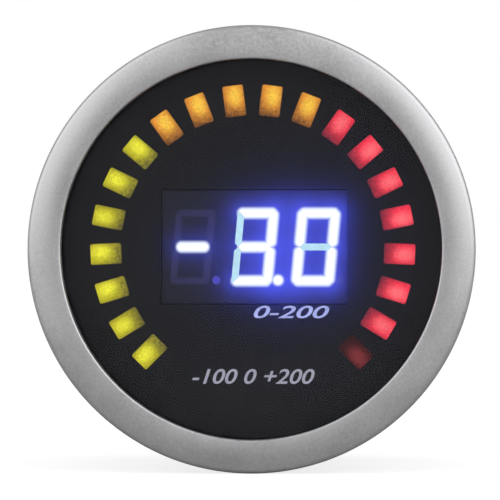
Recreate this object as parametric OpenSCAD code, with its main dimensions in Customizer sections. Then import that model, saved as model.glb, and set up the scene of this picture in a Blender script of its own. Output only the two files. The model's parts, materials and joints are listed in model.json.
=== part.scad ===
// A round dashboard boost gauge for a 52 mm panel hole: a three-digit display inside a ring of
// light bars, in a black case with a strap clamp, a hose barb and a wiring socket at the rear.
//
// Every piece is drawn facing up: z = 0 is the panel's front, the window is towards +z and the
// top of the dial is towards +y. facing_out() then turns it upright, so that the window looks
// along -Y, the top is +Z, and the case runs back from the origin along +Y.

/* [Case] */
// Diameter of the barrel that goes through the panel
barrel_d = 52; // [51:0.5:58]
// Length of the case behind the panel's front
case_l = 34; // [33:0.5:44]
// Thickness of the side wall
case_wall = 1.6; // [1.3:0.1:1.9]
// Thickness of the rear wall
rear_wall = 1.8; // [1.4:0.1:2.4]
// Radius of the rear edge
rear_edge_r = 1.2; // [0.6:0.1:1.6]
// Step from the barrel in to the neck that carries the bezel
neck_step = 0.4; // [0.3:0.05:0.5]
// Number of ribs inside the barrel
rib_n = 6; // [3:1:8]
// Height of the ribs above the inside wall
rib_h = 1.4; // [1:0.1:1.8]
// Width of the ribs
rib_w = 1.2; // [0.8:0.1:1.8]

/* [Bezel] */
// Width of the seat that overhangs the barrel and rests on the panel
bezel_overhang = 1.5; // [1:0.1:3]
// Height of the bezel from the panel to its crown
bezel_h = 9; // [8.5:0.25:12]
// Width of the lip in front of the lens
lip_w = 2.28; // [1.9:0.02:3]
// Distance of the crown from the window's edge, which is the radius of the inner roll
crown_in = 0.83; // [0.6:0.01:1.1]
// Radius of the long slope outside the crown
crown_r = 9; // [8:0.5:14]
// Radius of the outer edge
bezel_edge_r = 0.8; // [0.4:0.1:1.2]
// Width of the snap bead that holds the bezel on the neck
bead_w = 0.9; // [0.7:0.1:1.2]
// Depth of the snap bead's groove
groove_depth = 0.3; // [0.2:0.05:0.4]

/* [Lens] */
// Height of the lens's seat above the panel's front
lens_seat_z = 4.8; // [4.4:0.1:5]
// Thickness of the lens
lens_t = 2; // [1.5:0.1:2.2]
// Thickness of the gasket between the lens and the bezel's lip
gasket_t = 0.4; // [0.2:0.05:0.5]
// Width of the gasket
gasket_w = 1.7; // [1:0.1:1.8]

/* [Dial] */
// Middle of the dial, sideways from the case's axis
dial_x = 0.04; // [-0.4:0.01:0.4]
// Middle of the dial above the case's axis
dial_y = 0.29; // [-0.4:0.01:0.4]
// Thickness of the black film with the windows
mask_t = 0.3; // [0.2:0.05:0.5]
// Number of yellow bars, counted from the low end
yellow_n = 7; // [1:1:10]
// Number of orange bars
orange_n = 5; // [1:1:8]
// Number of red bars
red_n = 8; // [1:1:10]
// Angle from one bar to the next
bar_pitch = 14.26; // [13:0.01:14.3]
// Distance of the bars' middles from the edge of the film
bar_inset = 6.06; // [5:0.01:6.2]
// Length of a bar, along the radius
bar_l = 3.83; // [3:0.01:4]
// Width of a bar
bar_w = 2.55; // [2:0.01:2.8]
// Radius of the corners of the windows
window_corner_r = 0.25; // [0.1:0.05:0.5]
// Thickness of the diffuser pads
pad_t = 0.8; // [0.6:0.1:1.4]
// Overlap of a diffuser pad behind the edge of its window
pad_lap = 0.25; // [0.15:0.05:0.3]

/* [Lettering places] */
// Width of the upper place
upper_legend_w = 9.8; // [8:0.1:12]
// Height of the upper place
upper_legend_h = 1.5; // [1:0.1:1.7]
// Middle of the upper place, sideways from the dial's middle
upper_legend_x = 4.9; // [3:0.05:6]
// Width of the lower place
lower_legend_w = 15.4; // [12:0.1:17]
// Height of the lower place
lower_legend_h = 2.2; // [1.6:0.1:2.6]
// Distance of the lower place's middle below the dial's middle
lower_legend_drop = 16.15; // [15:0.05:17]

/* [Display] */
// Number of digits
digit_n = 3; // [2:1:3]
// Height of a digit
digit_h = 9.2; // [7:0.01:9.6]
// Width of a digit
digit_w = 4.88; // [4:0.01:5.4]
// Distance from one digit to the next
digit_pitch = 7.6; // [7.2:0.05:7.7]
// Lean of the digits, in degrees
digit_lean = 5.3; // [0:0.1:9]
// Width of a segment
segment_w = 0.85; // [0.6:0.05:1.1]
// Gap between neighbouring segments
segment_gap = 0.1; // [0.05:0.01:0.2]
// Cut at the outer corners of a digit
digit_chamfer = 0.45; // [0.25:0.05:0.6]
// Diameter of a decimal point
point_d = 1; // [0.7:0.05:1.2]
// Thickness of the display module
display_t = 7.2; // [6:0.1:8]
// Height of the display module's body
display_body_h = 14; // [13:0.1:14.1]
// Middle of the display, sideways from the dial's middle
display_off_x = 0.2; // [-0.4:0.01:0.4]
// Middle of the display above the dial's middle
display_off_y = 0; // [-0.1:0.01:0.6]

/* [Boards] */
// Thickness of a circuit board
board_t = 1.6; // [1:0.1:2]
// Distance between the two boards
board_gap = 13.9; // [12:0.1:14.5]
// Distance of the board screws from the inner ends of the bars
screw_gap = 1.65; // [1.5:0.05:1.9]
// Diameter of the board screws
screw_d = 1.8; // [1.4:0.1:2]
// Diameter of the board spacers
spacer_d = 4.4; // [3.6:0.1:5]

/* [Pressure side] */
// Gap between the strap and the nut of the hose barb
barb_gap = 1; // [0.8:0.1:3]
// Diameter of the barb's crests
barb_crest_d = 4.8; // [4.4:0.1:5.4]
// Diameter of the barb between its crests
barb_shank_d = 3.8; // [3.2:0.1:4]
// Diameter of the bore through the barb
barb_bore_d = 2.2; // [1.4:0.1:2.4]
// Number of barbs
barb_n = 3; // [2:1:5]
// Distance from one barb to the next
barb_pitch = 3.8; // [3:0.1:5]
// Diameter of the thread through the rear wall
barb_thread_d = 6; // [5.6:0.1:7]

/* [Wiring socket] */
// Number of pins
pin_n = 6; // [3:1:6]
// Distance from one pin to the next
pin_pitch = 2; // [1.8:0.1:2.1]
// Width of the socket
socket_w = 16; // [15:0.1:17]
// Height of the socket
socket_h = 9; // [8.4:0.1:10]
// Wall of the socket
socket_wall = 1.2; // [0.9:0.1:1.4]
// Length of the socket behind the case
socket_out = 6.5; // [6:0.1:9]
// Depth of the socket's cavity
socket_depth = 10; // [9:0.1:11]
// Gap between the strap and the socket
socket_gap = 1.5; // [0.8:0.1:2.5]

/* [Clamp] */
// Diameter of the studs
stud_d = 4; // [3.5:0.1:4.4]
// Length of a stud behind the case
stud_out = 23.5; // [23:0.5:32]
// Distance of each stud from the outside of the barrel
stud_inset = 9; // [8:0.1:9.5]
// Thickness of the clamp's steel strap
strap_t = 0.6; // [0.5:0.05:1]
// Width of the strap
strap_w = 12; // [10:0.5:12.4]
// Gap between the barrel and the legs of the strap
leg_gap = 0.9; // [0.85:0.05:2]
// Gap between the case and the strap's back
strap_gap = 5; // [4.6:0.1:7]
// Inner radius of the strap's bends
bend_r = 1.6; // [1:0.1:3]
// Thickness of the panel that the gauge is clamped to
panel_t = 2.5; // [1:0.5:8]
// Thickness of the split washers
washer_t = 0.8; // [0.6:0.1:1.2]
// Diameter of the knurled band of the thumb nuts
nut_d = 12; // [10:0.5:14]
// Length of the knurled band of the thumb nuts
nut_band_l = 5; // [4:0.5:6]
// Number of grooves in the knurled band
nut_groove_n = 36; // [20:1:48]

/* [Hidden] */

$fn = 96;
// Overrun of every cut past the face that it opens
over = 1;
// Clearance of pieces that are pushed or screwed together
fit = 0.05;
// Clearance of pieces that are laid in place
slack = 0.2;
// Straight steps along a quarter of a rounded edge
round_steps = 8;

// Case and bezel
barrel_r = barrel_d / 2;
neck_r = barrel_r - neck_step;
bore_r = barrel_r - case_wall;
rear_z = -case_l;
rear_inside_z = rear_z + rear_wall;
bezel_r = barrel_r + bezel_overhang;
bezel_bore_r = neck_r + fit;
window_r = bezel_bore_r - lip_w;
crown_x = window_r + crown_in;
lip_z = lens_seat_z + lens_t + gasket_t;
bead_z = lens_seat_z / 2;

// Lens, film and light box, from the window inwards
lens_r = bezel_bore_r - slack;
gasket_r = lens_r - fit;
insert_r = bore_r - slack;
mask_z = lens_seat_z - slack - mask_t;
light_box_h = display_t + slack;
board_z = mask_z - light_box_h;
display_board_back_z = board_z - board_t;
main_board_z = display_board_back_z - board_gap;
main_back_z = main_board_z - board_t;
main_board_r = bore_r - rib_h - 3 * slack;

// Bars
bar_n = yellow_n + orange_n + red_n;
bar_ring_r = insert_r - bar_inset;
pad_z = mask_z - pad_t;
led_size = [2, 1.25, 0.6];
led_dome = [1.3, 0.9, 0.25];

// Lettering places
display_x = dial_x + display_off_x;
display_y = dial_y + display_off_y;
upper_legend_y = display_y - display_body_h / 2 - slack - pad_lap - upper_legend_h / 2 - fit;
legend_places = [
    [dial_x + upper_legend_x, upper_legend_y, upper_legend_w, upper_legend_h],
    [dial_x, dial_y - lower_legend_drop, lower_legend_w, lower_legend_h]
];
legend_led_pitch = 4.4;

// Display
display_w = digit_n * digit_pitch;
display_z = board_z + display_t;
segment_depth = 0.6;
point_x_share = 0.6;
display_pin_pitch = 2.54;
display_pin_n = 6;
display_pin_row = 10.16;
display_pin_w = 0.5;
pin_tail = 1.6;

// Board furniture
screw_ring_r = bar_ring_r - bar_l / 2 - screw_gap;
screw_angles = [45, 135, 218, 322];
screw_head_r = 1.9;
screw_head_h = 1.4;
screw_bite = 4.5;
header_n = 10;
header_pitch = 2;
header_y = 17;
header_strip_size = [21, 2.2, 2.5];
header_pin_w = 0.5;
mcu_size = [10, 10, 1.4];
mcu_place = [-3.5, 1];
mcu_lead_n = 11;
mcu_lead_pitch = 0.8;
mcu_lead_size = [0.4, 1.1, 0.25];
regulator_size = [6.6, 6.1, 2.3];
regulator_place = [9.5, 1.5];
regulator_tab = [5.4, 1.6, 0.5];
regulator_lead = [0.8, 2.6, 0.5];
regulator_lead_pitch = 2.3;
capacitor_d = 6.3;
capacitor_h = 7.7;
capacitor_base = [6.6, 6.6, 1.2];
capacitor_places = [[-15, 2], [16.5, 6.5], [16.5, -2.5]];
crystal_size = [11.4, 4.4, 3.4];
crystal_place = [-2.5, -8.4];
resistor_size = [1.6, 0.8, 0.45];
resistor_pitch = 1.9;
resistor_n = 6;
resistor_rows = [8.4, 11.4];

// Pressure side
sensor_size = [10, 8, 4];
sensor_port_d = 3.2;
sensor_port_l = 4.2;
sensor_z = main_back_z - sensor_size[2];
sensor_port_z = sensor_z - sensor_port_l;
tube_wall = 1.1;
barb_collar_r = 4;
barb_collar_t = 1.2;
barb_collar_z = rear_inside_z + barb_collar_t;
barb_nut_af = 10;
barb_y = strap_w / 2 + barb_gap + barb_nut_af / 2;
barb_nut_t = 3;
seal_t = 0.8;
seal_r = 5;
barb_nut_z = rear_z - seal_t - barb_nut_t;
barb_land = 0.4;
barb_thread_end_z = barb_nut_z - barb_land;
barb_neck_l = 1.4;

// Wiring socket
socket_end_z = rear_z - socket_out;
socket_corner_r = 0.8;
socket_y = -strap_w / 2 - socket_gap - socket_h / 2;
pin_w = 0.64;
pin_reach = 5;
latch_w = 5;
latch_h = 0.8;
latch_l = 2.4;
key_w = 2.4;
key_depth = 0.5;

// Clamp
stud_r = stud_d / 2;
stud_x = barrel_r - stud_inset;
stud_af = 7;
stud_head_h = 2.4;
stud_nut_t = 2.2;
stud_tip = 0.5;
stud_end_z = rear_z - stud_out;
leg_r = barrel_r + leg_gap;
strap_z = rear_z - strap_gap;
strap_back_z = strap_z - strap_t;
strap_hole_r = stud_r + fit + slack;
strap_bead_l = 19;
strap_bead_w = 3.2;
strap_bead_h = 0.7;
washer_r = 3.8;
washer_slit = 0.7;
washer_z = strap_back_z - washer_t;
nut_bore_r = stud_r + fit;
nut_boss_r = 4.6;
nut_boss_l = 0.8;
nut_cap_r = 3.7;
nut_cap_l = 1.4;
nut_groove_depth = 0.35;
nut_edge = 0.5;

// Points along an arc, from one angle to another
function arc(x, y, r, from, to, steps = round_steps) = [
    for (i = [0 : steps]) let (a = from + (to - from) * i / steps) [x + r * cos(a), y + r * sin(a)]
];

// Outline of a rectangle with rounded corners about the origin
function rounded(w, h, r) = concat(
    arc(w / 2 - r, h / 2 - r, r, 0, 90),
    arc(r - w / 2, h / 2 - r, r, 90, 180),
    arc(r - w / 2, r - h / 2, r, 180, 270),
    arc(w / 2 - r, r - h / 2, r, 270, 360)
);

// Turns a piece from its drawn place, facing up, to its place in the upright gauge
module facing_out() {
    rotate([90, 0, 0]) children();
}

// A block that stands on z = 0 about the origin
module block(size) {
    translate([-size[0] / 2, -size[1] / 2, 0]) cube(size);
}

// A hexagon prism with chamfered corners
module hexagon(af, h) {
    corner_r = af / sqrt(3);
    chamfer = corner_r - af / 2;
    intersection() {
        cylinder(r = corner_r, h = h, $fn = 6);
        rotate_extrude() polygon([
            [0, 0], [af / 2, 0], [corner_r, chamfer / 2], [corner_r, h - chamfer / 2],
            [af / 2, h], [0, h]
        ]);
    }
}

// Copies at the two studs
module at_studs() {
    for (side = [-1, 1]) translate([side * stud_x, 0, 0]) children();
}

// Copies at the board screws
module at_screws() {
    for (a = screw_angles) rotate(a) translate([screw_ring_r, 0, 0]) children();
}

// Copies at a run of bars, where bar 0 is the lowest of the ring
module at_bars(first, count) {
    translate([dial_x, dial_y, 0]) for (i = [first : first + count - 1])
        rotate(((bar_n - 1) / 2 - i) * bar_pitch) translate([0, bar_ring_r, 0]) children();
}

// Outline of the can, in radius and height
function can_outline() = concat(
    [
        [bore_r, lens_seat_z], [neck_r, lens_seat_z], [neck_r, bead_z + bead_w / 2],
        [neck_r - groove_depth, bead_z + bead_w / 4], [neck_r - groove_depth, bead_z - bead_w / 4],
        [neck_r, bead_z - bead_w / 2], [neck_r, neck_step], [barrel_r, 0]
    ],
    arc(barrel_r - rear_edge_r, rear_z + rear_edge_r, rear_edge_r, 0, -90),
    [[0, rear_z], [0, rear_inside_z], [bore_r, rear_inside_z]]
);

module case_can() {
    color("#1d1e21") facing_out() {
        difference() {
            union() {
                rotate_extrude() polygon(can_outline());
                for (i = [0 : rib_n - 1]) rotate((i + 1 / 2) * 360 / rib_n)
                    translate([bore_r - rib_h, -rib_w / 2, rear_inside_z - rear_wall / 2])
                        cube([
                            rib_h + case_wall / 2, rib_w,
                            display_board_back_z - rear_inside_z + rear_wall / 2
                        ]);
            }
            at_studs() translate([0, 0, rear_z - over]) cylinder(r = stud_r + fit, h = rear_wall + 2 * over);
            translate([0, barb_y, rear_z - over])
                cylinder(r = barb_thread_d / 2 + fit, h = rear_wall + 2 * over);
            translate([0, socket_y, rear_z - over])
                block([socket_w + 2 * slack, socket_h + 2 * slack, rear_wall + 2 * over]);
        }
    }
}

// Outline of the bezel, in radius and height: seat, side, outer edge, slope, crown, roll and lip
function bezel_outline() =
    let (
        slope_z = bezel_h - crown_r,
        edge_x = bezel_r - bezel_edge_r,
        edge_z = slope_z + sqrt(pow(crown_r - bezel_edge_r, 2) - pow(edge_x - crown_x, 2)),
        meet = atan2(edge_z - slope_z, edge_x - crown_x)
    )
    concat(
        [[barrel_r + fit, 0], [bezel_r - groove_depth, 0], [bezel_r, groove_depth]],
        arc(edge_x, edge_z, bezel_edge_r, 0, meet),
        arc(crown_x, slope_z, crown_r, meet, 90),
        arc(crown_x, bezel_h - crown_in, crown_in, 90, 180),
        [
            [window_r, lip_z], [bezel_bore_r, lip_z], [bezel_bore_r, bead_z + bead_w / 3],
            [bezel_bore_r - groove_depth + fit, bead_z + bead_w / 8],
            [bezel_bore_r - groove_depth + fit, bead_z - bead_w / 8],
            [bezel_bore_r, bead_z - bead_w / 3], [bezel_bore_r, neck_step]
        ]
    );

module bezel_ring() {
    color("#a9aaac") facing_out() rotate_extrude($fn = 180) polygon(bezel_outline());
}

module lens() {
    chamfer = lens_t / 8;
    color("#3a3b40", 0.35) facing_out() translate([0, 0, lens_seat_z]) rotate_extrude() polygon([
        [0, 0], [lens_r - chamfer, 0], [lens_r, chamfer], [lens_r, lens_t - chamfer],
        [lens_r - chamfer, lens_t], [0, lens_t]
    ]);
}

module lens_gasket() {
    color("#141414") facing_out() translate([0, 0, lens_seat_z + lens_t]) difference() {
        cylinder(r = gasket_r, h = gasket_t);
        translate([0, 0, -over]) cylinder(r = gasket_r - gasket_w, h = gasket_t + 2 * over);
    }
}

// The film stays whole over the lettering places, where it is printed and lit through
module dial_mask() {
    color("#17171b") facing_out() translate([0, 0, mask_z]) linear_extrude(mask_t) difference() {
        circle(r = insert_r);
        at_bars(0, bar_n) polygon(rounded(bar_w, bar_l, window_corner_r));
        translate([display_x, display_y])
            polygon(rounded(display_w + slack, display_body_h + slack, window_corner_r));
    }
}

module light_box() {
    color("#101012") facing_out() translate([0, 0, board_z]) difference() {
        cylinder(r = insert_r, h = light_box_h);
        at_bars(0, bar_n) {
            translate([0, 0, -over])
                block([bar_w - pad_lap, bar_l - pad_lap, light_box_h + 2 * over]);
            translate([0, 0, light_box_h - pad_t])
                block([bar_w + 2 * (pad_lap + fit), bar_l + 2 * (pad_lap + fit), pad_t + over]);
        }
        for (place = legend_places) translate([place[0], place[1], 0]) {
            translate([0, 0, -over])
                block([place[2] - pad_lap, place[3], light_box_h + 2 * over]);
            translate([0, 0, light_box_h - pad_t])
                block([place[2] + 2 * (pad_lap + fit), place[3] + 2 * fit, pad_t + over]);
        }
        translate([display_x, display_y, -over])
            block([display_w + slack, display_body_h + slack, light_box_h + 2 * over]);
        at_screws() translate([0, 0, -over]) cylinder(r = screw_d / 2 + fit, h = screw_bite + slack + over);
    }
}

// Diffuser pads of a run of bars
module bar_windows(first, count) {
    facing_out() translate([0, 0, pad_z]) linear_extrude(pad_t) at_bars(first, count)
        polygon(rounded(bar_w + 2 * pad_lap, bar_l + 2 * pad_lap, window_corner_r));
}

module bar_windows_yellow() {
    color("#d8d63c") bar_windows(0, yellow_n);
}

module bar_windows_orange() {
    color("#e89a3a") bar_windows(yellow_n, orange_n);
}

module bar_windows_red() {
    color("#e0485c") bar_windows(yellow_n + orange_n, red_n);
}

module legend_windows() {
    color("#c9cdd6") facing_out() for (place = legend_places) translate([place[0], place[1], pad_z])
        linear_extrude(pad_t) polygon(rounded(place[2] + 2 * pad_lap, place[3], window_corner_r));
}

// A surface-mount lamp: its body with the lens on top
module led() {
    block(led_size);
    translate([0, 0, led_size[2]]) block(led_dome);
}

module bar_leds(first, count) {
    facing_out() translate([0, 0, board_z]) at_bars(first, count) led();
}

module bar_leds_yellow() {
    color("#efe9c0") bar_leds(0, yellow_n);
}

module bar_leds_orange() {
    color("#efd9b0") bar_leds(yellow_n, orange_n);
}

module bar_leds_red() {
    color("#efc4bc") bar_leds(yellow_n + orange_n, red_n);
}

module legend_leds() {
    color("#f2f3f5") facing_out() for (place = legend_places) {
        count = floor(place[2] / legend_led_pitch);
        for (i = [0 : count - 1])
            translate([place[0] + (i - (count - 1) / 2) * legend_led_pitch, place[1], board_z]) led();
    }
}

// Leans a point of a digit over, about the digit's middle height
function lean(p) = [p[0] + p[1] * tan(digit_lean), p[1]];

// Outline of one segment, made from the one in the upper left and flipped into its place
function segment_outline(kind, flip_x, flip_y) =
    let (
        x = (digit_w - segment_w) / 2,
        y = (digit_h - segment_w) / 2,
        half = segment_w / 2,
        gap = segment_gap / 2,
        cut = digit_chamfer,
        level = [
            [gap + half - x, y - half], [(gap - segment_w + cut) / 2 - x, y + (segment_w - cut + gap) / 2],
            [cut - half - x, y + half], [x + half - cut, y + half],
            [x - (gap - segment_w + cut) / 2, y + (segment_w - cut + gap) / 2], [x - gap - half, y - half]
        ],
        upright = [
            [half - x, y - half - gap], [(cut - segment_w - gap) / 2 - x, y + (segment_w - cut - gap) / 2],
            [-half - x, y + half - cut], [-half - x, half + gap], [-x, gap], [half - x, half + gap]
        ],
        middle = [
            [gap - x, 0], [gap + half - x, half], [x - gap - half, half],
            [x - gap, 0], [x - gap - half, -half], [gap + half - x, -half]
        ],
        points = kind == "level" ? level : kind == "upright" ? upright : middle
    )
    [for (p = points) lean([flip_x * p[0], flip_y * p[1]])];

// The seven segments of a digit as kind, flip along x and flip along y
segments = [
    ["level", 1, 1], ["upright", -1, 1], ["upright", -1, -1], ["level", 1, -1],
    ["upright", 1, -1], ["upright", 1, 1], ["middle", 1, 1]
];

// Copies at the middles of the digits
module at_digits() {
    for (i = [0 : digit_n - 1])
        translate([display_x + (i - (digit_n - 1) / 2) * digit_pitch, display_y]) children();
}

module digit_shapes() {
    at_digits() for (s = segments) polygon(segment_outline(s[0], s[1], s[2]));
}

module point_shapes() {
    at_digits() translate([digit_w * point_x_share, (point_d - digit_h) / 2]) circle(d = point_d);
}

module display_housing() {
    color("#24253a") facing_out() difference() {
        translate([display_x, display_y, board_z]) block([display_w, display_body_h, display_t]);
        translate([0, 0, display_z - segment_depth]) linear_extrude(segment_depth + over) {
            digit_shapes();
            point_shapes();
        }
    }
}

module display_digits() {
    color("#e8f0ff") facing_out() translate([0, 0, display_z - segment_depth])
        linear_extrude(segment_depth) digit_shapes();
}

module display_points() {
    color("#dfe8ff") facing_out() translate([0, 0, display_z - segment_depth])
        linear_extrude(segment_depth) point_shapes();
}

// Copies at the pins under the display module
module at_display_pins() {
    for (side = [-1, 1], i = [0 : display_pin_n - 1])
        translate([
            display_x + (i - (display_pin_n - 1) / 2) * display_pin_pitch,
            display_y + side * display_pin_row / 2
        ]) children();
}

module display_pins() {
    color("#c9ccd0") facing_out() translate([0, 0, display_board_back_z - pin_tail])
        at_display_pins() block([display_pin_w, display_pin_w, board_t + pin_tail]);
}

// Copies at the pins that link the two boards
module at_header_pins() {
    for (i = [0 : header_n - 1]) translate([(i - (header_n - 1) / 2) * header_pitch, header_y]) children();
}

// Copies at the pins of the wiring socket
module at_wiring_pins() {
    for (i = [0 : pin_n - 1]) translate([(i - (pin_n - 1) / 2) * pin_pitch, socket_y]) children();
}

module display_board() {
    hole = display_pin_w + slack;
    header_hole = header_pin_w + slack;
    color("#1f4a33") facing_out() translate([0, 0, display_board_back_z]) difference() {
        cylinder(r = insert_r, h = board_t);
        at_screws() translate([0, 0, -over]) cylinder(r = screw_d / 2 + fit, h = board_t + 2 * over);
        at_display_pins() translate([0, 0, -over]) block([hole, hole, board_t + 2 * over]);
        at_header_pins() translate([0, 0, -over]) block([header_hole, header_hole, board_t + 2 * over]);
    }
}

module main_board() {
    hole = pin_w + slack;
    header_hole = header_pin_w + slack;
    color("#1f4a33") facing_out() translate([0, 0, main_back_z]) difference() {
        cylinder(r = main_board_r, h = board_t);
        at_screws() translate([0, 0, -over]) cylinder(r = screw_d / 2 + fit, h = board_t + 2 * over);
        at_header_pins() translate([0, 0, -over]) block([header_hole, header_hole, board_t + 2 * over]);
        at_wiring_pins() translate([0, 0, -over]) block([hole, hole, board_t + 2 * over]);
    }
}

module header_strips() {
    hole = header_pin_w + 2 * fit;
    color("#151515") facing_out() for (z = [main_board_z, display_board_back_z - header_strip_size[2]])
        difference() {
            translate([0, header_y, z]) block(header_strip_size);
            at_header_pins() translate([0, 0, z - over]) block([hole, hole, header_strip_size[2] + 2 * over]);
        }
}

module header_pins() {
    color("#c8a545") facing_out() translate([0, 0, main_back_z - slack]) at_header_pins()
        block([header_pin_w, header_pin_w, board_z - main_back_z + slack]);
}

module board_spacers() {
    color("#d9d9d2") facing_out() at_screws() translate([0, 0, main_board_z]) difference() {
        cylinder(d = spacer_d, h = board_gap);
        translate([0, 0, -over]) cylinder(r = screw_d / 2 + fit, h = board_gap + 2 * over);
    }
}

// Pan-head screws from the back of the main board into the light box
module board_screws() {
    slot = [screw_head_r * 2, screw_d / 4, screw_head_h / 2];
    color("#b9bbbe") facing_out() at_screws() translate([0, 0, main_back_z]) difference() {
        union() {
            cylinder(d = screw_d, h = board_z + screw_bite - main_back_z);
            translate([0, 0, -screw_head_h])
                cylinder(r1 = screw_head_r * 4 / 5, r2 = screw_head_r, h = screw_head_h);
        }
        translate([0, 0, -screw_head_h - slot[2] / 2]) {
            block([slot[0], slot[1], slot[2] * 3 / 2]);
            rotate(90) block([slot[0], slot[1], slot[2] * 3 / 2]);
        }
    }
}

module microcontroller() {
    color("#19191b") facing_out() translate([mcu_place[0], mcu_place[1], main_board_z]) {
        translate([0, 0, mcu_lead_size[2] / 2]) block(mcu_size);
        for (turn = [0 : 3], i = [0 : mcu_lead_n - 1]) rotate(turn * 90) {
            along = (i - (mcu_lead_n - 1) / 2) * mcu_lead_pitch;
            translate([along, mcu_size[1] / 2 + mcu_lead_size[1] / 4, 0]) block(mcu_lead_size);
        }
    }
}

module voltage_regulator() {
    side = regulator_size[1] / 2;
    color("#202022") facing_out() translate([regulator_place[0], regulator_place[1], main_board_z]) {
        block(regulator_size);
        translate([0, side + regulator_tab[1] / 4, 0]) block(regulator_tab);
        for (i = [-1, 1]) translate([i * regulator_lead_pitch, -side - regulator_lead[1] / 4, 0])
            block(regulator_lead);
    }
}

module capacitors() {
    color("#b4b7bd") facing_out() for (place = capacitor_places)
        translate([place[0], place[1], main_board_z]) {
            block(capacitor_base);
            cylinder(d = capacitor_d, h = capacitor_h);
        }
}

module crystal() {
    color("#c3c5c9") facing_out() translate([crystal_place[0], crystal_place[1], main_board_z])
        linear_extrude(crystal_size[2])
            polygon(rounded(crystal_size[0], crystal_size[1], crystal_size[1] / 3));
}

module chip_resistors() {
    color("#2b2b2e") facing_out() for (y = resistor_rows, i = [0 : resistor_n - 1])
        translate([(i - (resistor_n - 1) / 2) * resistor_pitch, y, main_board_z]) block(resistor_size);
}

module pressure_sensor() {
    color("#2a2b2f") facing_out() translate([0, barb_y, 0]) difference() {
        union() {
            translate([0, 0, sensor_z]) block(sensor_size);
            translate([0, 0, sensor_port_z]) cylinder(d = sensor_port_d, h = sensor_port_l + over);
        }
        translate([0, 0, sensor_port_z - over])
            cylinder(d = sensor_port_d / 2, h = sensor_port_l + sensor_size[2] / 2 + over);
    }
}

module sensor_tube() {
    bore = sensor_port_d / 2 + fit;
    from = barb_collar_z + slack;
    to = sensor_z - slack;
    color("#d8d4c8") facing_out() translate([0, barb_y, from]) difference() {
        cylinder(r = bore + tube_wall, h = to - from);
        translate([0, 0, -over]) cylinder(r = bore, h = to - from + 2 * over);
    }
}

// One barb, from its foot towards the tip: step up, short land, long slope down
function barb_points(z) = [
    [barb_shank_d / 2, z], [barb_crest_d / 2, z], [barb_crest_d / 2, z - barb_land],
    [barb_shank_d / 2, z - barb_pitch + barb_land]
];

function hose_barb_outline() =
    let (
        tail_z = sensor_port_z - 2 * slack,
        thread_r = barb_thread_d / 2,
        first_z = barb_thread_end_z - barb_neck_l
    )
    concat(
        [
            [barb_bore_d / 2, tail_z], [sensor_port_d / 2, tail_z], [sensor_port_d / 2, barb_collar_z],
            [barb_collar_r, barb_collar_z], [barb_collar_r, rear_inside_z], [thread_r, rear_inside_z],
            [thread_r, barb_thread_end_z], [barb_shank_d / 2, barb_thread_end_z]
        ],
        [for (i = [0 : barb_n - 1], p = barb_points(first_z - i * barb_pitch)) p],
        [[barb_bore_d / 2, first_z - barb_n * barb_pitch + barb_land]]
    );

module hose_barb() {
    color("#c9a24a") facing_out() translate([0, barb_y, 0]) rotate_extrude() polygon(hose_barb_outline());
}

module barb_nut() {
    color("#c39c46") facing_out() translate([0, barb_y, barb_nut_z]) difference() {
        rotate(90) hexagon(barb_nut_af, barb_nut_t);
        translate([0, 0, -over]) cylinder(r = barb_thread_d / 2 + fit, h = barb_nut_t + 2 * over);
    }
}

module barb_seal() {
    color("#141414") facing_out() translate([0, barb_y, rear_z - seal_t]) difference() {
        cylinder(r = seal_r, h = seal_t);
        translate([0, 0, -over]) cylinder(r = barb_thread_d / 2 + fit, h = seal_t + 2 * over);
    }
}

module wiring_socket() {
    inner_w = socket_w - 2 * socket_wall;
    inner_h = socket_h - 2 * socket_wall;
    base_z = socket_end_z + socket_depth;
    hole = pin_w + 2 * fit;
    color("#e6e4dc") facing_out() difference() {
        union() {
            translate([0, socket_y, socket_end_z])
                linear_extrude(main_back_z - socket_end_z)
                    polygon(rounded(socket_w, socket_h, socket_corner_r));
            translate([-latch_w / 2, socket_y - socket_h / 2, socket_end_z + latch_h]) rotate([0, 90, 0])
                linear_extrude(latch_w) polygon([
                    [0, over], [0, 0], [-latch_h, -latch_h], [-latch_l, -latch_h], [-latch_l, over]
                ]);
        }
        translate([0, socket_y, socket_end_z - over])
            linear_extrude(socket_depth + over)
                polygon(rounded(inner_w, inner_h, socket_corner_r / 2));
        translate([0, socket_y + inner_h / 2, socket_end_z - over])
            block([key_w, 2 * key_depth, socket_depth + over]);
        at_wiring_pins() translate([0, 0, base_z - over])
            block([hole, hole, main_back_z - base_z + 2 * over]);
    }
}

module wiring_pins() {
    from = socket_end_z + socket_depth - pin_reach;
    color("#c8a545") facing_out() translate([0, 0, from]) at_wiring_pins()
        block([pin_w, pin_w, main_board_z + board_t / 2 - from]);
}

module mounting_studs() {
    color("#b5b7ba") facing_out() at_studs() {
        translate([0, 0, rear_inside_z]) hexagon(stud_af, stud_head_h);
        rotate_extrude() polygon([
            [0, rear_inside_z], [stud_r, rear_inside_z], [stud_r, stud_end_z + stud_tip],
            [stud_r - stud_tip, stud_end_z], [0, stud_end_z]
        ]);
    }
}

module stud_nuts() {
    color("#b9bbbe") facing_out() at_studs() translate([0, 0, rear_z - stud_nut_t]) difference() {
        hexagon(stud_af, stud_nut_t);
        translate([0, 0, -over]) cylinder(r = nut_bore_r, h = stud_nut_t + 2 * over);
    }
}

// Outline of the cup that the strap is cut from, in radius and height
function strap_outline() =
    let (outer_r = leg_r + strap_t, outer_bend = bend_r + strap_t)
    concat(
        [[0, strap_back_z]],
        arc(outer_r - outer_bend, strap_back_z + outer_bend, outer_bend, -90, 0),
        [[outer_r, -panel_t], [leg_r, -panel_t]],
        arc(leg_r - bend_r, strap_z + bend_r, bend_r, 0, -90),
        [[0, strap_z]]
    );

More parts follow.
